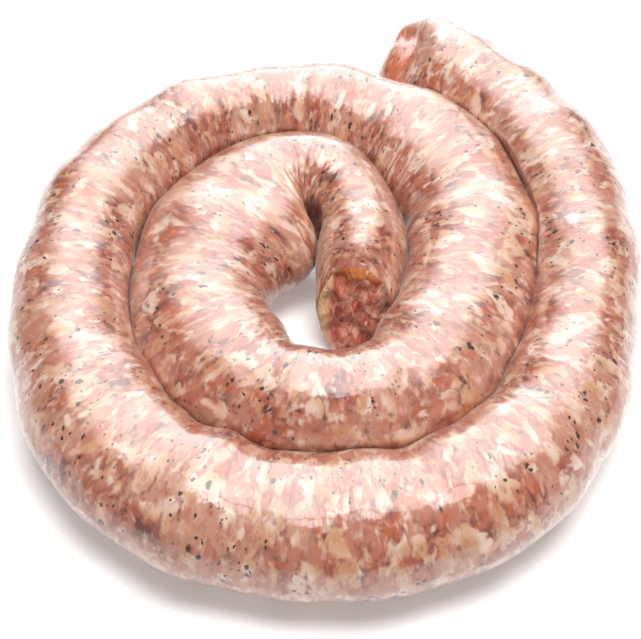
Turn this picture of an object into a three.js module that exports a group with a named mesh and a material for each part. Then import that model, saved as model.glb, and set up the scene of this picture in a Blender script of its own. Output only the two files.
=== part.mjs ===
// Coiled fresh sausage: one long filled casing wound flat on itself, lying on a table.
// Millimetres, +Z up. The origin is on the table, under the middle of the whole outline.
import * as THREE from 'three';

// The tube's run, from the cut end in the middle, anticlockwise seen from above, to the tail.
// Angle round the coil (degrees, 0 at the right, 90 at the back), distance of the tube's centre
// from the coil's middle, the tube's reach inwards and outwards of its centre, and half its height.
const STATIONS = [
  [2, 10.2, 9.3, 9.3, 13.0],
  [17, 11.2, 9.9, 9.9, 14.2],
  [32, 13.4, 10.6, 10.6, 14.8],
  [50, 18.6, 11.2, 11.2, 15.2],
  [61, 24.8, 11.8, 11.4, 15.4],
  [72, 31.2, 12.2, 10.8, 15.4],
  [90, 36.4, 12.2, 14.0, 15.6],
  [106, 35.2, 16.6, 18.0, 15.4],
  [122, 30.6, 21.2, 21.4, 15.0],
  [145, 27.6, 18.0, 20.6, 14.8],
  [165, 26.8, 16.6, 18.8, 14.8],
  [180, 26.8, 16.6, 18.4, 14.8],
  [225, 26.6, 16.0, 16.4, 15.0],
  [270, 30.3, 13.6, 13.6, 15.6],
  [315, 32.8, 15.2, 15.6, 15.2],
  [360, 36.8, 16.8, 16.6, 15.0],
  [405, 52.6, 17.4, 16.6, 15.0],
  [450, 61.2, 13.8, 14.1, 15.6],
  [475, 62.6, 12.4, 13.8, 15.4],
  [495, 63.0, 13.2, 13.6, 15.4],
  [540, 58.1, 15.6, 13.8, 15.2],
  [585, 58.4, 16.4, 16.4, 15.0],
  [630, 58.5, 16.4, 16.4, 14.8],
  [675, 63.0, 15.6, 15.2, 15.2],
  [720, 65.0, 14.4, 12.8, 15.4],
  [765, 76.8, 13.6, 14.8, 15.6],
  [775, 80.6, 13.0, 13.6, 15.0],
  [784, 84.2, 14.0, 14.0, 15.4],
  [791.5, 86.0, 12.0, 11.6, 12.2],
];

const COIL_MIDDLE = [-3.7, -8.5]; // where the coil's middle lies, seen from the origin
const SAMPLE_ANGLE = 0.25; // degrees between the centre line's samples
const SIGHT = 18; // samples looked ahead and behind for the tube's direction
const AROUND = 28; // points in one ring of the tube
const TIGHT_STEP = 2.8; // ring spacing through the hairpin bend in the middle
const LOOSE_STEP = 4.3; // ring spacing round the rest of the coil
const TIGHT_LENGTH = 95; // length of tube that has the tight spacing
const SETTLE = 0.7; // how far the tube's weight flattens its underside
const TOUCH_GAP = 0.35; // gap between neighbouring turns where they press together
const NEIGHBOUR_AFTER = 42; // stretches this far apart along the run are separate neighbours
const SAME_PLACE = 1; // stretches closer than this along the run are the ring's own place
const CUT_LEAN = 4.4; // how far the cut's top edge is set back against its foot
const LEAN_FADES = 16; // length of tube over which that lean dies away

// Low swellings of the filling along the tube: period, height and phase of each
const SWELLINGS = [
  [33, 0.3, 0.4],
  [19, 0.2, 2.1],
];

// Closing profiles of the two ends: distance past the last ring, and size against that ring's
const CUT_END = [
  [0.7, 0.96],
  [1.5, 0.84],
  [2.0, 0.5],
];
const TAIL_END = [
  [2.4, 0.95],
  [4.8, 0.83],
  [6.8, 0.63],
  [8.0, 0.36],
];

const degrees = THREE.MathUtils.degToRad;

// Smooth distance, inward and outward reach and half-height at any angle
function makeRail() {
  const angles = STATIONS.map((station) => station[0]);
  const values = STATIONS.flatMap((station) => station.slice(1));
  return new THREE.CubicInterpolant(angles, values, 4);
}

function swelling(run) {
  return SWELLINGS.reduce(
    (sum, [period, height, phase]) => sum + height * Math.sin((2 * Math.PI * run) / period + phase),
    0,
  );
}

// Fine samples of the centre line: plan position, reaches, half-height and length run so far
function sampleRun() {
  const rail = makeRail();
  const first = STATIONS[0][0];
  const last = STATIONS.at(-1)[0];
  const samples = [];
  let run = 0;
  for (let angle = first; angle <= last + 1e-9; angle += SAMPLE_ANGLE) {
    const [distance, inner, outer, height] = rail.evaluate(angle);
    const point = new THREE.Vector2(
      distance * Math.cos(degrees(angle)),
      distance * Math.sin(degrees(angle)),
    );
    if (samples.length > 0) {
      run += point.distanceTo(samples.at(-1).point);
    }
    samples.push({ point, inner, outer, height, run });
  }
  samples.forEach((sample, i) => {
    const ahead = samples[Math.min(i + SIGHT, samples.length - 1)].point;
    const behind = samples[Math.max(i - SIGHT, 0)].point;
    sample.along = ahead.clone().sub(behind).normalize();
    sample.outward = new THREE.Vector2(sample.along.y, -sample.along.x);
  });
  return samples;
}

// Rings at even spacing along the run, and one at its end
function placeRings(samples) {
  const rings = [];
  let next = 0;
  for (const sample of samples) {
    if (sample.run >= next || sample === samples.at(-1)) {
      const swell = swelling(sample.run);
      rings.push({
        ...sample,
        inner: sample.inner + swell,
        outer: sample.outer + swell,
        height: sample.height + swell,
      });
      next += sample.run < TIGHT_LENGTH ? TIGHT_STEP : LOOSE_STEP;
    }
  }
  return rings;
}

// How far a point lies outside the nearest other stretch of the tube. Stretches close by along the
// run count as wide as the ring itself, which stops rings inside a bend short of crossing.
function clearance(point, ring, reach, samples) {
  let least = Infinity;
  for (const other of samples) {
    const apart = Math.abs(other.run - ring.run);
    if (apart > SAME_PLACE) {
      const far = THREE.MathUtils.smoothstep(apart, 0, NEIGHBOUR_AFTER);
      const offset = point.clone().sub(other.point);
      const otherReach = offset.dot(other.outward) > 0 ? other.outer : other.inner;
      const width = THREE.MathUtils.lerp(reach, otherReach, far);
      least = Math.min(least, offset.length() - width - far * TOUCH_GAP);
    }
  }
  return least;
}

// Reach of a ring on one side, held back where it meets another stretch of tube
function heldReach(ring, reach, side, samples) {
  let inside = 0;
  let outside = reach;
  for (let step = 0; step < 24; step += 1) {
    const middle = (inside + outside) / 2;
    const point = ring.point.clone().addScaledVector(ring.outward, side * middle);
    if (middle - reach < clearance(point, ring, reach, samples)) {
      inside = middle;
    } else {
      outside = middle;
    }
  }
  return inside;
}

// Points of one ring, shrunk by size about its middle and moved on past it
function ringPoints(ring, size, past) {
  const points = [];
  const middle = ring.height - SETTLE;
  const lean = CUT_LEAN * Math.max(0, 1 - ring.run / LEAN_FADES) ** 2;
  for (let k = 0; k < AROUND; k += 1) {
    const turn = (2 * Math.PI * k) / AROUND - Math.PI / 2;
    const across = Math.cos(turn);
    const full = across * (across > 0 ? ring.outer : ring.inner);
    const held = THREE.MathUtils.clamp(full, -ring.innerHeld, ring.outerHeld);
    const level = Math.max(0, middle + ring.height * Math.sin(turn));
    const height = middle + (level - middle) * size;
    const place = ring.point.clone().addScaledVector(ring.outward, held * size);
    place.addScaledVector(ring.along, past + lean * (height / middle - 1));
    points.push([place.x, place.y, height]);
  }
  return points;
}

function makeTube() {
  const samples = sampleRun();
  const rings = placeRings(samples);
  for (const ring of rings) {
    ring.outerHeld = heldReach(ring, ring.outer, 1, samples);
    ring.innerHeld = heldReach(ring, ring.inner, -1, samples);
  }

  const head = rings[0];
  const tail = rings.at(-1);
  const loops = [
    ...CUT_END.toReversed().map(([past, size]) => ringPoints(head, size, -past)),
    ...rings.map((ring) => ringPoints(ring, 1, 0)),
    ...TAIL_END.map(([past, size]) => ringPoints(tail, size, past)),
  ];
  const headTip = head.point.clone().addScaledVector(head.along, -CUT_END.at(-1)[0] - 0.1);
  const tailTip = tail.point.clone().addScaledVector(tail.along, TAIL_END.at(-1)[0] + 0.4);

  const positions = loops.flat(2);
  const faces = [];
  for (let i = 0; i + 1 < loops.length; i += 1) {
    for (let k = 0; k < AROUND; k += 1) {
      const a = i * AROUND + k;
      const b = i * AROUND + ((k + 1) % AROUND);
      faces.push(a, b + AROUND, b, a, a + AROUND, b + AROUND);
    }
  }
  const headIndex = loops.length * AROUND;
  const tailIndex = headIndex + 1;
  positions.push(headTip.x, headTip.y, head.height - SETTLE);
  positions.push(tailTip.x, tailTip.y, tail.height - SETTLE);
  for (let k = 0; k < AROUND; k += 1) {
    const next = (k + 1) % AROUND;
    const lastLoop = (loops.length - 1) * AROUND;
    faces.push(headIndex, k, next);
    faces.push(tailIndex, lastLoop + next, lastLoop + k);
  }

  const geometry = new THREE.BufferGeometry();
  geometry.setAttribute('position', new THREE.Float32BufferAttribute(positions, 3));
  geometry.setIndex(faces);
  geometry.computeVertexNormals();
  return geometry;
}

const sausage = new THREE.Mesh(
  makeTube(),
  new THREE.MeshStandardMaterial({ color: 0xd0a091, roughness: 0.35, metalness: 0 }),
);
sausage.name = 'sausage_coil';
sausage.position.set(...COIL_MIDDLE, 0);

const coil = new THREE.Group();
coil.name = 'coiled_sausage';
coil.add(sausage);

export default coil;
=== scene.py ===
"""Coiled fresh sausage: coarse-ground pork in a thin natural casing, wound flat on itself.

Sizes are in millimetres until a mesh is made, and the piece lies where the plain solid does.
Sizes of the table, the lights and the world are in metres.
"""
import math

import bpy
import numpy as np
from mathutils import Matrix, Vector, noise


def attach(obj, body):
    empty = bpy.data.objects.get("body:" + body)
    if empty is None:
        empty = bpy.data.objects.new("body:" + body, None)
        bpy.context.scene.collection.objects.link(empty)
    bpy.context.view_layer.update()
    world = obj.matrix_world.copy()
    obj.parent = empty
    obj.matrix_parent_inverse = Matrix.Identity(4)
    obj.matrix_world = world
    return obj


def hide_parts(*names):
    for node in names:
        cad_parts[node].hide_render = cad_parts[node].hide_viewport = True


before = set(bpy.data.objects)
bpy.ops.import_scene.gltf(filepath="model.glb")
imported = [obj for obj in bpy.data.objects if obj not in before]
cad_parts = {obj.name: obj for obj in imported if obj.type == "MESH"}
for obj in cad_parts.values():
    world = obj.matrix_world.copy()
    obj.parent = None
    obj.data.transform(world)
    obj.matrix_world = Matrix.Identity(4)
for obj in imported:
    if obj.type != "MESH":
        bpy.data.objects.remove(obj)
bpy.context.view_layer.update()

MM = 0.001

# ---------------------------------------------------------------- the coil's driving sizes

COIL_MIDDLE = np.array([-3.7, -8.5])  # where the coil's middle lies in the frame

# The tube's run, from the cut end in the middle, anticlockwise seen from above, to the tail:
# angle round the coil (degrees), distance of the tube's centre from the coil's middle,
# its reach inwards and outwards of that centre, and half its height.
STATIONS = np.array([
    [2, 10.2, 9.3, 9.3, 13.0],
    [17, 11.2, 9.9, 9.9, 14.2],
    [32, 13.4, 10.6, 10.6, 14.8],
    [50, 18.6, 11.2, 11.2, 15.2],
    [61, 24.8, 11.8, 11.4, 15.4],
    [72, 31.2, 12.2, 10.8, 15.4],
    [90, 36.4, 12.2, 14.0, 15.6],
    [106, 35.2, 16.6, 18.0, 15.4],
    [122, 30.6, 21.2, 21.4, 15.0],
    [145, 27.6, 18.0, 20.6, 14.8],
    [165, 26.8, 16.6, 18.8, 14.8],
    [180, 26.8, 16.6, 18.4, 14.8],
    [225, 26.6, 16.0, 16.4, 15.0],
    [270, 30.3, 13.6, 13.6, 15.6],
    [315, 32.8, 15.2, 15.6, 15.2],
    [360, 36.8, 16.8, 16.6, 15.0],
    [405, 52.6, 17.4, 16.6, 15.0],
    [450, 61.2, 13.8, 14.1, 15.6],
    [475, 62.6, 12.4, 13.8, 15.4],
    [495, 63.0, 13.2, 13.6, 15.4],
    [540, 58.1, 15.6, 13.8, 15.2],
    [585, 58.4, 16.4, 16.4, 15.0],
    [630, 58.5, 16.4, 16.4, 14.8],
    [675, 63.0, 15.6, 15.2, 15.2],
    [720, 65.0, 14.4, 12.8, 15.4],
    [765, 76.8, 13.6, 14.8, 15.6],
    [775, 80.6, 13.0, 13.6, 15.0],
    [784, 84.2, 14.0, 14.0, 15.4],
    [791.5, 86.0, 12.0, 11.6, 12.2],
])

TUBE_RADIUS = 15.0  # radius of the straightened tube that the skin's grain is laid out on
FINE_ANGLE = 0.25  # degrees between the first, fine samples of the centre line
RING_STEP = 0.76  # spacing of the skin's rings along the tube
AROUND = 92  # points round one ring
SMOOTHING = 3.0  # length over which the run and the reaches are evened out
BELL_REACH = 3  # smoothing lengths after which a neighbour's pull is as good as nothing
SETTLE = 0.7  # how far the tube's weight flattens its underside
LUMP_ROOM = 0.35  # height kept free under the crown for the skin's lumps

TOUCH_GAP = 0.06  # gap between turns that press together
NEIGHBOUR_AFTER = 42.0  # stretches this far apart along the run are separate neighbours
SAME_PLACE = 1.0  # stretches closer than this along the run are the ring's own place
NEIGHBOUR_STRIDE = 3  # every third ring is looked at as a possible neighbour
HALVINGS = 13  # steps in which a held-back reach is closed in on

# Low swellings of the filling along the tube: period, height and phase of each
SWELLINGS = [(33.0, 0.30, 0.4), (19.0, 0.20, 2.1)]

# The skin's relief over the ground meat: size of the lumps and their height
LUMPS = [(13.0, 0.28), (5.5, 0.17), (2.6, 0.08)]

# Gathers where the casing bunches on the inside of a bend: middle of the gather along the run,
# its half-length, the depth of the creases between its pleats and their spacing
GATHERS = [(42.0, 22.0, 0.7, 3.4), (282.0, 16.0, 0.6, 3.9)]
GATHER_WAVER = [(9.0, 1.6)]  # size and reach of the creases' wandering along the tube
GATHER_EDGE = 4  # how sharply a gather ends along the run
GATHER_TOP = 0.35  # how far outwards the creases still show, as a share of the tube's radius
CREASE_SHARPNESS = 6  # how narrow a crease is against its spacing

# Single bulges and dents of the tail: place along the run, degrees round the tube from its outer
# side up over the crown, width, and rise or fall
TAIL_BUMPS = [
    (651.5, 50.0, 6.6, 4.8),
    (641.5, 40.0, 3.4, -2.2),
    (637.0, 40.0, 3.0, 1.7),
    (632.0, 36.0, 5.0, -3.0),
    (621.0, 34.0, 7.5, 2.2),
    (657.5, 75.0, 3.2, -2.2),
    (662.0, 40.0, 5.0, 3.6),
    (640.0, 165.0, 4.0, -1.0),
]

# The closing profiles of the two ends: distance past the last ring, and size against that ring's
CUT_LOOPS = 20
CUT_REACH = 1.8  # how far the middle of the cut stands out past its rim
CUT_ROUNDING = 4  # how soon past the rim the cut turns flat
CUT_SPREAD = 1.4  # how much closer together the loops lie near the rim
CUT_TIP = 0.6  # part of a loop's spacing that is left to the cut's middle point
CUT_END = [
    (CUT_REACH * (1 - (1 - share) ** CUT_ROUNDING), 1 - share ** CUT_SPREAD)
    for share in np.arange(1, CUT_LOOPS + 1) / (CUT_LOOPS + CUT_TIP)
]
TAIL_END = [
    (0.8, 0.996), (1.6, 0.985), (2.4, 0.97), (3.2, 0.95), (4.0, 0.925), (4.8, 0.89), (5.5, 0.85),
    (6.2, 0.79), (6.8, 0.72), (7.3, 0.64), (7.7, 0.54), (8.0, 0.43), (8.2, 0.29), (8.3, 0.13),
]
CASING_LOOPS = 3  # loops of the cut end that the casing still covers
CUT_LEAN = 4.4  # how far the cut's top edge is set back against its foot
LEAN_FADES = 16.0  # length of tube over which that lean dies away
CUT_RELIEF = [(5.0, 1.7), (2.2, 0.9)]  # size and height of the torn meat's crumbs
CRUMBS_GROW = 6.0  # how fast the crumbs reach full height inside the casing's rim

# Shifts that give each relief its own stretch of the noise
GATHER_SHIFT = 90.0
CRUMB_SHIFT = 40.0


# ---------------------------------------------------------------- the tube's run and its rings

def natural_spline(knots, values, at):
    """Values of the smooth natural cubic curve through the knots, one column at a time."""
    gap = np.diff(knots)
    count = len(knots)
    matrix = np.eye(count)
    right = np.zeros_like(values)
    slope = np.diff(values, axis=0) / gap[:, None]
    for i in range(1, count - 1):
        matrix[i, i - 1:i + 2] = gap[i - 1], 2 * (gap[i - 1] + gap[i]), gap[i]
        right[i] = 3 * (slope[i] - slope[i - 1])
    curl = np.linalg.solve(matrix, right)
    i = np.clip(np.searchsorted(knots, at) - 1, 0, count - 2)
    step = (at - knots[i])[:, None]
    width = gap[i][:, None]
    first = slope[i] - width * (2 * curl[i] + curl[i + 1]) / 3
    third = (curl[i + 1] - curl[i]) / (3 * width)
    return values[i] + first * step + curl[i] * step ** 2 + third * step ** 3


def evened(values, step, length):
    """Columns evened out over a length, with their end values kept."""
    reach = int(BELL_REACH * length / step)
    weights = np.exp(-0.5 * (np.arange(-reach, reach + 1) * step / length) ** 2)
    weights /= weights.sum()
    before = 2 * values[0] - values[reach:0:-1]
    after = 2 * values[-1] - values[-2:-reach - 2:-1]
    padded = np.vstack([before, values, after])
    return np.column_stack([np.convolve(column, weights, "valid") for column in padded.T])


def swelling(run):
    """How much fatter the tube is at each place along its run."""
    return sum(
        height * np.sin(2 * np.pi * run / period + phase) for period, height, phase in SWELLINGS
    )


class Rings:
    """The tube's rings in plan: centre, direction, outward side, reaches and half-height."""

    def __init__(self):
        angles = np.arange(STATIONS[0, 0], STATIONS[-1, 0], FINE_ANGLE)
        distance, *sizes = natural_spline(STATIONS[:, 0], STATIONS[:, 1:], angles).T
        turn = np.radians(angles)
        points = np.column_stack([distance * np.cos(turn), distance * np.sin(turn)])
        lengths = np.linalg.norm(np.diff(points, axis=0), axis=1)
        fine_run = np.concatenate([[0], np.cumsum(lengths)])
        self.count = int(fine_run[-1] / RING_STEP)
        self.run = np.linspace(0, fine_run[-1], self.count)
        columns = [np.interp(self.run, fine_run, column) for column in (*points.T, *sizes)]
        smooth = evened(np.column_stack(columns), self.run[1], SMOOTHING)
        self.centre = smooth[:, :2]
        self.inner, self.outer, self.height = (smooth[:, 2:] + swelling(self.run)[:, None]).T
        self.height -= LUMP_ROOM
        self.along = np.gradient(self.centre, axis=0)
        self.along /= np.linalg.norm(self.along, axis=1)[:, None]
        self.outward = np.column_stack([self.along[:, 1], -self.along[:, 0]])
        self.outer_held = self.held(self.outer, 1)
        self.inner_held = self.held(self.inner, -1)

    def clearance(self, points, reach):
        """How far each ring's point lies outside the nearest other stretch of tube.

        Stretches close by along the run count as wide as the ring itself, which stops the rings
        inside a bend short of crossing.
        """
        some = slice(None, None, NEIGHBOUR_STRIDE)
        offset = points[:, None] - self.centre[None, some]
        outside = (offset * self.outward[None, some]).sum(2) > 0
        other_reach = np.where(outside, self.outer[some], self.inner[some])
        apart = np.abs(self.run[:, None] - self.run[None, some])
        far = np.clip(apart / NEIGHBOUR_AFTER, 0, 1)
        far = far ** 2 * (3 - 2 * far)
        width = reach[:, None] * (1 - far) + other_reach * far
        room = np.linalg.norm(offset, axis=2) - width - far * TOUCH_GAP
        return np.where(apart > SAME_PLACE, room, np.inf).min(1)

    def held(self, reach, side):
        """Reach on one side, held back where it meets another stretch of tube."""
        inside = np.zeros(self.count)
        outside = reach.copy()
        for _ in range(HALVINGS):
            middle = (inside + outside) / 2
            points = self.centre + side * middle[:, None] * self.outward
            clear = middle - reach < self.clearance(points, reach)
            inside = np.where(clear, middle, inside)
            outside = np.where(clear, outside, middle)
        return inside


# ---------------------------------------------------------------- the skin's surface

def ring_loops(rings):
    """Every loop of the skin as ring index, distance past it and size, from cut to tail."""
    last = rings.count - 1
    loops = [(0, -past, size) for past, size in reversed(CUT_END)]
    loops += [(i, 0.0, 1.0) for i in range(rings.count)]
    loops += [(last, past, size) for past, size in TAIL_END]
    index, past, size = np.array(loops).T
    return index.astype(int), past, size


def turns_round():
    """Angles of a ring's points, from its underside over its outer side and its crown."""
    return 2 * np.pi * np.arange(AROUND) / AROUND - np.pi / 2


def bare_skin(rings, index, past, size):
    """The plain pressed tube: grid of points, loops by points round, in the coil's own plan."""
    turn = turns_round()
    across, up = np.cos(turn), np.sin(turn)
    reach = np.where(across > 0, rings.outer[index, None], rings.inner[index, None]) * across
    reach = np.clip(reach, -rings.inner_held[index, None], rings.outer_held[index, None])
    middle = rings.height[index, None] - SETTLE
    level = np.maximum(0, middle + rings.height[index, None] * up)
    level = middle + (level - middle) * size[:, None]
    lean = CUT_LEAN * np.clip(1 - rings.run[index] / LEAN_FADES, 0, 1) ** 2
    ahead = past[:, None] + lean[:, None] * (level / middle - 1)
    plan = (
        rings.centre[index, None]
        + rings.outward[index, None] * (reach * size[:, None])[..., None]
        + rings.along[index, None] * ahead[..., None]
    )
    return np.dstack([plan, level])


def skin_normals(points):
    """Which way is out at each point of the skin."""
    around = np.roll(points, -1, 1) - np.roll(points, 1, 1)
    along = np.gradient(points, axis=0)
    normal = np.cross(along, around)
    return normal / np.maximum(np.linalg.norm(normal, axis=2), 1e-9)[..., None]


def straight_places(rings, index, past, size):
    """Where each point lies in the straightened sausage, so that a grain follows the tube."""
    turn = turns_round()
    run = np.repeat((rings.run[index] + past)[:, None], AROUND, 1)
    radius = TUBE_RADIUS * size[:, None]
    return np.dstack([run, radius * np.cos(turn), radius * np.sin(turn)])


def relief_of(places, scales):
    """Height of natural relief at each place, from its sizes and heights."""
    flat = places.reshape(-1, 3)
    height = np.zeros(len(flat))
    for width, rise in scales:
        height += rise * np.array([noise.noise(Vector(place / width)) for place in flat])
    return height.reshape(places.shape[:2])


def gathers(places):
    """Fine creases of bunched casing, dying out over the crown of the tube."""
    waver = relief_of(places + GATHER_SHIFT, GATHER_WAVER)
    run, side = places[..., 0] + waver, places[..., 1] / TUBE_RADIUS
    inward = np.clip(GATHER_TOP - side, 0, 1)
    height = np.zeros_like(run)
    for middle, reach, depth, spacing in GATHERS:
        near = np.exp(-(((run - middle) / reach) ** GATHER_EDGE))
        height -= depth * near * inward * np.cos(np.pi * run / spacing) ** CREASE_SHARPNESS
    return height


def tail_bumps(places):
    """The knobbly end of the tail, where the casing is only loosely filled."""
    height = np.zeros(places.shape[:2])
    for run, round_from_side, width, rise in TAIL_BUMPS:
        turn = math.radians(round_from_side)
        peak = np.array([run, TUBE_RADIUS * math.cos(turn), TUBE_RADIUS * math.sin(turn)])
        height += rise * np.exp(-((places - peak) ** 2).sum(2) / width ** 2)
    return height


def torn_meat(places, size):
    """How far the broken meat stands proud at the cut, from nothing at the casing's rim."""
    open_share = np.clip((1 - size) * CRUMBS_GROW, 0, 1)
    return relief_of(places + CRUMB_SHIFT, CUT_RELIEF) * open_share[:, None]


def make_grid_mesh(name, points, tips):
    """A closed mesh over a grid of loops, with a tip point at each end."""
    loops, around, _ = points.shape
    vertices = np.vstack([points.reshape(-1, 3), tips])
    k = np.arange(around)
    nxt = (k + 1) % around
    base = (np.arange(loops - 1) * around)[:, None]
    quads = np.dstack([base + k, base + around + k, base + around + nxt, base + nxt])
    head, tail = loops * around, loops * around + 1
    top = (loops - 1) * around
    faces = quads.reshape(-1, 4).tolist()
    faces += [(head, int(a), int(b)) for a, b in zip(k, nxt)]
    faces += [(tail, int(top + b), int(top + a)) for a, b in zip(k, nxt)]
    mesh = bpy.data.meshes.new(name)
    mesh.from_pydata((vertices * MM).tolist(), [], faces)
    mesh.shade_smooth()
    mesh.update()
    return mesh


def keep_places(mesh, places):
    """Stores each point's place in the straightened sausage, in metres, for the materials."""
    tips = [places[0].mean(0), places[-1].mean(0)]
    vectors = np.vstack([places.reshape(-1, 3), *tips]) * MM
    attribute = mesh.attributes.new("place", "FLOAT_VECTOR", "POINT")
    attribute.data.foreach_set("vector", vectors.astype(np.float32).ravel())


def give_materials(mesh, loops):
    """The cut face shows torn meat, and everything else is under the casing."""
    mesh.materials.append(casing_over_ground_pork())
    mesh.materials.append(cut_ground_pork())
    rows = np.repeat(np.arange(loops - 1), AROUND)
    cut = rows < CUT_LOOPS - CASING_LOOPS
    slots = np.concatenate([cut, np.ones(AROUND), np.zeros(AROUND)]).astype(np.int32)
    mesh.polygons.foreach_set("material_index", slots)


def make_sausage():
    """The whole length of sausage, from its torn end to its tail, as one closed skin."""
    rings = Rings()
    index, past, size = ring_loops(rings)
    points = bare_skin(rings, index, past, size)
    places = straight_places(rings, index, past, size)
    normals = skin_normals(points)
    relief = relief_of(places, LUMPS) + gathers(places) + tail_bumps(places)
    points = points + normals * relief[..., None]
    crumbs = torn_meat(places[:CUT_LOOPS], size[:CUT_LOOPS])
    points[:CUT_LOOPS, :, :2] -= rings.along[0] * crumbs[..., None]
    points[..., 2] = np.maximum(points[..., 2], 0)
    points[..., :2] += COIL_MIDDLE
    tips = np.array([points[0].mean(0), points[-1].mean(0)])
    mesh = make_grid_mesh("sausage", points, tips)
    keep_places(mesh, places)
    give_materials(mesh, len(index))
    sausage = bpy.data.objects.new("sausage", mesh)
    bpy.context.scene.collection.objects.link(sausage)
    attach(sausage, "root")
    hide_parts("sausage_coil")


# ---------------------------------------------------------------- materials

def hex_colour(code):
    """A linear colour with alpha from an sRGB hex value."""
    channels = [int(code[i:i + 2], 16) / 255 for i in (1, 3, 5)]
    linear = [c / 12.92 if c <= 0.04045 else ((c + 0.055) / 1.055) ** 2.4 for c in channels]
    return (*linear, 1.0)


def new_material(name):
    """A material with its tree, and the Principled BSDF in it."""
    material = bpy.data.materials.new(name)
    material.use_nodes = True
    return material, material.node_tree, material.node_tree.nodes["Principled BSDF"]


def fill_inputs(tree, node, inputs):
    """Gives a node's inputs their values, or links them to other nodes' outputs."""
    for name, value in inputs.items():
        if isinstance(value, bpy.types.NodeSocket):
            tree.links.new(value, node.inputs[name])
        else:
            node.inputs[name].default_value = value


def add(tree, kind, inputs=None, stops=(), **settings):
    """Adds a node, sets it up, and gives its inputs values or links and its ramp its stops."""
    node = tree.nodes.new("ShaderNode" + kind)
    for name, value in settings.items():
        setattr(node, name, value)
    fill_inputs(tree, node, inputs or {})
    for k, (position, code) in enumerate(stops):
        elements = node.color_ramp.elements
        element = elements[k] if k < 2 else elements.new(position)
        element.position = position
        element.color = hex_colour(code)
    return node


# A colour Mix node has its factor at input 0, its two colours at 6 and 7, and its result at 2
FACTOR, UNDER, OVER, MIXED = 0, 6, 7, 2


def grain_space(tree, stretch):
    """Straightened-tube coordinates in millimetres, pieces drawn out round the tube by stretch."""
    place = add(tree, "Attribute", attribute_name="place").outputs["Vector"]
    along = 1 / MM
    across = along / stretch
    return add(
        tree, "Mapping", {"Vector": place, "Scale": (along, across, across)},
    ).outputs["Vector"]


def ragged(tree, vector, size, push):
    """Coordinates pushed about by noise of a size, so that pieces drawn in them turn ragged."""
    shove = add(tree, "TexNoise", {"Vector": vector, "Scale": 1 / size, "Detail": 1.0})
    centred = add(
        tree, "VectorMath", {0: shove.outputs["Color"], 1: (0.5, 0.5, 0.5)}, operation="SUBTRACT",
    )
    return add(
        tree, "VectorMath", {0: centred.outputs[0], 1: (push, push, push), 2: vector},
        operation="MULTIPLY_ADD",
    ).outputs[0]


def patches(tree, vector, size, low, high, detail=2.0):
    """Mask of soft-edged patches of a size: 0 where noise is below low, 1 above high."""
    cloud = add(tree, "TexNoise", {"Vector": vector, "Scale": 1 / size, "Detail": detail})
    return add(
        tree, "MapRange", {"Value": cloud.outputs["Fac"], "From Min": low, "From Max": high},
        interpolation_type="SMOOTHSTEP",
    ).outputs["Result"]


def toned(tree, vector, size, detail, stops):
    """A colour that wanders through its stops over a size."""
    cloud = add(tree, "TexNoise", {"Vector": vector, "Scale": 1 / size, "Detail": detail})
    return add(tree, "ValToRGB", {"Fac": cloud.outputs["Fac"]}, stops=stops).outputs["Color"]


SPECK_EDGE = 0.35  # width of a speck's soft edge, as a share of its radius


def specks(tree, vector, size, radius, share):
    """Mask of separate specks, one in some cells of a size, and a random number for each."""
    cell = add(tree, "TexVoronoi", {"Vector": vector, "Scale": 1 / size})
    random = add(tree, "SeparateColor", {"Color": cell.outputs["Color"]}).outputs
    reach = add(tree, "MapRange", {
        "Value": random["Red"],
        "From Min": 1 - share,
        "From Max": 1.0,
        "To Min": 0.0,
        "To Max": radius / size,
    }).outputs["Result"]
    depth = add(tree, "Math", {0: reach, 1: cell.outputs["Distance"]}, operation="SUBTRACT")
    mask = add(tree, "MapRange", {
        "Value": depth.outputs[0],
        "From Min": 0.0,
        "From Max": SPECK_EDGE * radius / size,
    }, interpolation_type="SMOOTHSTEP").outputs["Result"]
    return mask, random["Green"]


def near_place(tree, place, full, none):
    """Mask of one spot on the sausage: 1 within a distance of its middle, 0 past another."""
    spot = ragged(tree, grain_space(tree, 1.0), size=3.0, push=2.0)
    away = add(tree, "VectorMath", {0: spot, 1: place}, operation="DISTANCE").outputs["Value"]
    return add(
        tree, "MapRange", {"Value": away, "From Min": none, "From Max": full},
        interpolation_type="SMOOTHSTEP",
    ).outputs["Result"]


LEAN_TONES = [
    (0.34, "#6f382a"), (0.42, "#9a5042"), (0.49, "#ba5f38"), (0.55, "#935646"), (0.64, "#b77560"),
]
FAT_TONES = [(0.38, "#c68d66"), (0.48, "#d2a484"), (0.60, "#dfc1af")]
LEAN_PIECE = 4.6  # size of one tone in the lean meat
FAT_PIECE = 4.0  # size of one tone in the fat
TAIL_TIP = (665.0, -5.0, 6.5)  # middle of the lean lump at the tail's tip, in the straight tube


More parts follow.
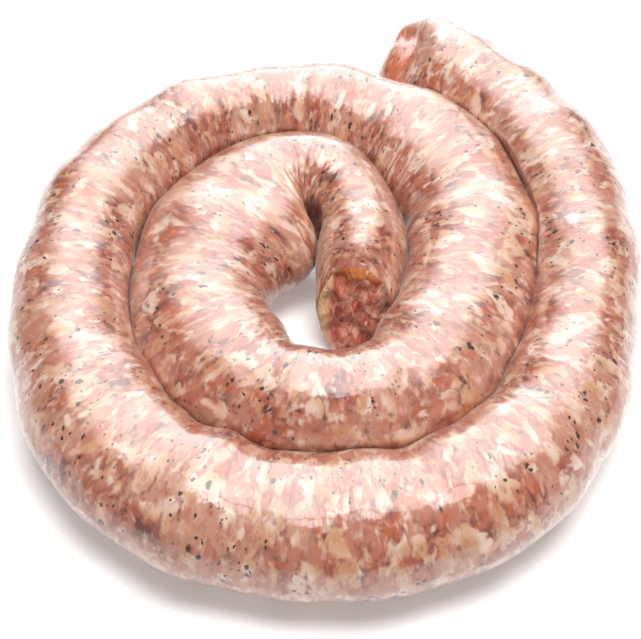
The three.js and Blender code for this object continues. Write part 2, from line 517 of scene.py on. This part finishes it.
def ground_pork(tree):
    """Colour of coarse-ground pork and back fat: soft pieces 2 to 8 mm wide, drawn out in filling.

    The lean is rose and rust red. Paler smears, streaks of fat and rounder lumps of fat lie over
    it, then the lean lump at the tail's tip, and last fine pale and dark flecks.
    """
    streaks = ragged(tree, grain_space(tree, 1.8), size=5.0, push=4.2)
    bent = ragged(tree, grain_space(tree, 1.4), size=4.0, push=4.0)
    chunky = ragged(tree, bent, size=1.6, push=1.2)
    fine = ragged(tree, grain_space(tree, 2.4), size=2.0, push=1.0)
    colour = toned(tree, streaks, LEAN_PIECE, 2.0, LEAN_TONES)
    fat = toned(tree, streaks, FAT_PIECE, 1.0, FAT_TONES)
    lumps_of_fat, _ = specks(tree, chunky, size=5.0, radius=2.7, share=0.75)
    layers = [
        (patches(tree, streaks, 8.0, 0.48, 0.62, detail=1.0), hex_colour("#c08a73")),
        (patches(tree, streaks, 2.4, 0.46, 0.64), hex_colour("#b9735c")),
        (patches(tree, streaks, 2.9, 0.50, 0.61, detail=3.0), fat),
        (lumps_of_fat, fat),
        (near_place(tree, TAIL_TIP, full=15.0, none=17.0), hex_colour("#c46c47")),
        (patches(tree, fine, 1.2, 0.50, 0.80), hex_colour("#d3ac96")),
        (patches(tree, fine, 1.5, 0.54, 0.80), hex_colour("#84463a")),
    ]
    for mask, over in layers:
        colour = add(
            tree, "Mix", {FACTOR: mask, UNDER: colour, OVER: over}, data_type="RGBA",
        ).outputs[MIXED]
    return colour


# Cracked pepper and dried herb: size of the cell that may hold one, radius of the largest, share
# of cells that hold one, and how high the noise has to be where a cluster begins
HERBS = [(1.1, 0.42, 0.9, 0.44), (2.1, 0.75, 0.7, 0.41)]
HERB_TONES = [(0.2, "#2a2012"), (0.5, "#4a3d22"), (0.8, "#38200f")]
CLUSTER = 11.0  # size of a loose cluster of herb
CLUSTER_EDGE = 0.08


def with_herbs(tree, colour):
    """Cracked pepper and dried herb under the skin, up to 1.5 mm, in loose clusters."""
    loose = ragged(tree, grain_space(tree, 1.5), size=0.9, push=1.1)
    for size, radius, share, begins in HERBS:
        mask, kind = specks(tree, loose, size, radius, share)
        cluster = patches(tree, loose, CLUSTER, begins, begins + CLUSTER_EDGE, detail=0.0)
        mask = add(tree, "Math", {0: mask, 1: cluster}, operation="MULTIPLY").outputs[0]
        herb = add(tree, "ValToRGB", {"Fac": kind}, stops=HERB_TONES).outputs["Color"]
        colour = add(
            tree, "Mix", {FACTOR: mask, UNDER: colour, OVER: herb}, data_type="RGBA",
        ).outputs[MIXED]
    return colour


def bumpy(tree, vector, size, detail, strength, depth):
    """The surface's direction over fine noise relief of a size and a depth in millimetres."""
    rough = add(tree, "TexNoise", {"Vector": vector, "Scale": 1 / size, "Detail": detail})
    return add(tree, "Bump", {
        "Height": rough.outputs["Fac"],
        "Strength": strength,
        "Distance": depth * MM,
    }).outputs["Normal"]


def casing_over_ground_pork():
    """Raw pork, ground through a 6 to 8 mm plate, in a wet natural hog casing.

    It gives the eye cream fat and rose lean pieces with soft edges under a thin clear skin,
    herb flecks, light that sinks in a few millimetres, and broad wet highlights.
    """
    material, tree, skin = new_material("wet hog casing over coarse-ground pork")
    relief = bumpy(tree, grain_space(tree, 1.5), size=2.6, detail=2.0, strength=0.5, depth=0.3)
    fill_inputs(tree, skin, {
        "Base Color": with_herbs(tree, ground_pork(tree)),
        "Normal": relief,
        "Roughness": 0.34,
        "IOR": 1.46,
        "Subsurface Weight": 0.25,
        "Subsurface Radius": (1.0, 0.4, 0.25),
        "Subsurface Scale": 1.6 * MM,
        "Coat Normal": relief,
        "Coat Weight": 1.0,
        "Coat Roughness": 0.08,
        "Coat IOR": 1.75,
        "Sheen Weight": 0.2,
        "Sheen Roughness": 0.4,
    })
    return material


CUT_TONES = [(0.34, "#9a483a"), (0.46, "#bb6b58"), (0.55, "#ce8571"), (0.66, "#dfa896")]
CUT_TONE_SIZE = 3.0
CUT_STRING = 9.0  # spacing of the pale strings of sinew across the cut
STRING_AT, STRING_HALF = 0.5, 0.02  # level of the noise that a string follows, and its half-width


def cut_ground_pork():
    """Torn ground pork at the open end, wet in the middle and drying to orange-brown at its rim.

    It gives the eye dark red lean meat with pale strings and bits of fat, dried orange meat along
    the top and ochre dried fat at the left. At the right, beside the next turn, it is greyed as
    painted shade.
    """
    material, tree, skin = new_material("drying cut face of ground pork")
    face = grain_space(tree, 1.0)
    loose = ragged(tree, face, size=2.5, push=2.0)
    side = add(
        tree, "SeparateXYZ", {"Vector": ragged(tree, face, size=5.0, push=6.0)},
    ).outputs
    strings = add(tree, "TexNoise", {"Vector": loose, "Scale": 1 / CUT_STRING, "Detail": 0.0})
    string = add(
        tree, "Math", {0: strings.outputs["Fac"], 1: STRING_AT, 2: STRING_HALF},
        operation="COMPARE",
    ).outputs[0]
    bits, _ = specks(tree, loose, size=2.6, radius=1.3, share=0.8)
    # what decides where each colour lies, the values where it begins and is full, and the colour
    zones = [
        (side["Z"], 8.0, 13.0, "#c2733f"),
        (side["Y"], -8.0, -11.0, "#dcb98c"),
        # painted shade: the outer side of the cut, in the shadow of the next turn, greyed
        (side["Y"], 7.5, 13.0, "#9a7868"),
        (string, 0.0, 1.3, "#dcab98"),
        (bits, 0.0, 1.3, "#dcb5a0"),
    ]
    colour = toned(tree, loose, CUT_TONE_SIZE, 2.0, CUT_TONES)
    for value, begins, full, over in zones:
        mask = add(tree, "MapRange", {"Value": value, "From Min": begins, "From Max": full})
        colour = add(tree, "Mix", {
            FACTOR: mask.outputs["Result"],
            UNDER: colour,
            OVER: hex_colour(over),
        }, data_type="RGBA").outputs[MIXED]
    fill_inputs(tree, skin, {
        "Base Color": colour,
        "Normal": bumpy(tree, loose, size=1.2, detail=3.0, strength=0.8, depth=0.8),
        "Roughness": 0.32,
        "Subsurface Weight": 0.15,
        "Subsurface Radius": (1.0, 0.35, 0.2),
        "Subsurface Scale": 1.5 * MM,
    })
    return material


def back_lit_acrylic():
    """A plain white acrylic table, lit a little from below so that shadows on it stay thin."""
    material, tree, board = new_material("back-lit white acrylic table")
    fill_inputs(tree, board, {
        "Base Color": hex_colour("#e8e7e6"),
        "Roughness": 0.6,
        "Emission Color": hex_colour("#ffffff"),
        "Emission Strength": 0.22,
    })
    return material


# ---------------------------------------------------------------- table, light and camera

TABLE_HALF = 3.0  # half the table's width
TABLE_TOP = -0.0002  # just under the sausage, so that the two never share a face

WORLD_STRENGTH = 0.28

# Soft lights: name, place, point it is aimed at, size, power in watts, and whether it makes the
# wet highlights or else lights the body of the meat
SOFT_LIGHTS = [
    ("softbox", (0.03, 0.624, 0.402), (0.03, 0.392, -0.041), (1.35, 1.6), 26.5, True),
    ("strip", (0.04, -0.2, 0.833), (0.04, -0.432, 0.39), (0.5, 0.2), 1.4, True),
    ("overhead fill", (0.09, 0.0, 0.87), (0, 0, 0), (0.5, 0.5), 14.2, False),
]
FADE_FROM, FADE_TO = 0.1, 0.5  # distance from a light's middle, against its width, where it fades

CAMERA_PLACE = (-1.8, -202.2, 275.1)  # eye point, in millimetres
CAMERA_DOWN = 54.0  # degrees it looks down, facing +Y
LENS = 76.3
SENSOR = 36.0
NEAREST = 0.01


def make_table():
    """The wide white table that the sausage lies on."""
    mesh = bpy.data.meshes.new("table")
    half = TABLE_HALF
    corners = [(-half, -half, 0), (half, -half, 0), (half, half, 0), (-half, half, 0)]
    mesh.from_pydata(corners, [], [(0, 1, 2, 3)])
    mesh.materials.append(back_lit_acrylic())
    table = bpy.data.objects.new("table", mesh)
    table.location.z = TABLE_TOP
    bpy.context.scene.collection.objects.link(table)


def fade_sides(light):
    """Lets a light's glow fall off towards its left and right edges."""
    light.use_nodes = True
    tree = light.node_tree
    spot = add(tree, "NewGeometry").outputs["Parametric"]
    across = add(tree, "SeparateXYZ", {"Vector": spot}).outputs["X"]
    offset = add(tree, "Math", {0: across, 1: 0.5}, operation="SUBTRACT").outputs[0]
    distance = add(tree, "Math", {0: offset}, operation="ABSOLUTE").outputs[0]
    glow = add(tree, "MapRange", {
        "Value": distance,
        "From Min": FADE_FROM,
        "From Max": FADE_TO,
        "To Min": 1.0,
        "To Max": 0.0,
    }, interpolation_type="SMOOTHSTEP").outputs["Result"]
    tree.links.new(glow, tree.nodes["Emission"].inputs["Strength"])


def make_soft_light(name, place, aim, size, power, for_highlights):
    """A rectangular soft light that serves the wet highlights alone, or the body light alone."""
    light = bpy.data.lights.new(name, "AREA")
    light.shape = "RECTANGLE"
    light.size, light.size_y = size
    light.energy = power
    fade_sides(light)
    lamp = bpy.data.objects.new(name, light)
    lamp.location = place
    lamp.rotation_euler = (Vector(aim) - Vector(place)).to_track_quat("-Z", "Y").to_euler()
    lamp.visible_glossy = for_highlights
    lamp.visible_diffuse = not for_highlights
    bpy.context.scene.collection.objects.link(lamp)


def make_world():
    """Even white light from all round."""
    world = bpy.data.worlds.new("white studio")
    world.use_nodes = True
    fill_inputs(world.node_tree, world.node_tree.nodes["Background"], {
        "Color": hex_colour("#ffffff"),
        "Strength": WORLD_STRENGTH,
    })
    bpy.context.scene.world = world


def make_camera():
    """The camera, in front of the coil and above it."""
    camera = bpy.data.cameras.new("camera")
    camera.sensor_fit = "HORIZONTAL"
    camera.sensor_width = SENSOR
    camera.lens = LENS
    camera.clip_start = NEAREST
    eye = bpy.data.objects.new("camera", camera)
    eye.location = Vector(CAMERA_PLACE) * MM
    eye.rotation_euler = (math.radians(90 - CAMERA_DOWN), 0, 0)
    bpy.context.scene.collection.objects.link(eye)
    bpy.context.scene.camera = eye
    bpy.context.scene.view_settings.view_transform = "Standard"


make_camera()
make_sausage()
make_table()
make_world()
for soft_light in SOFT_LIGHTS:
    make_soft_light(*soft_light)
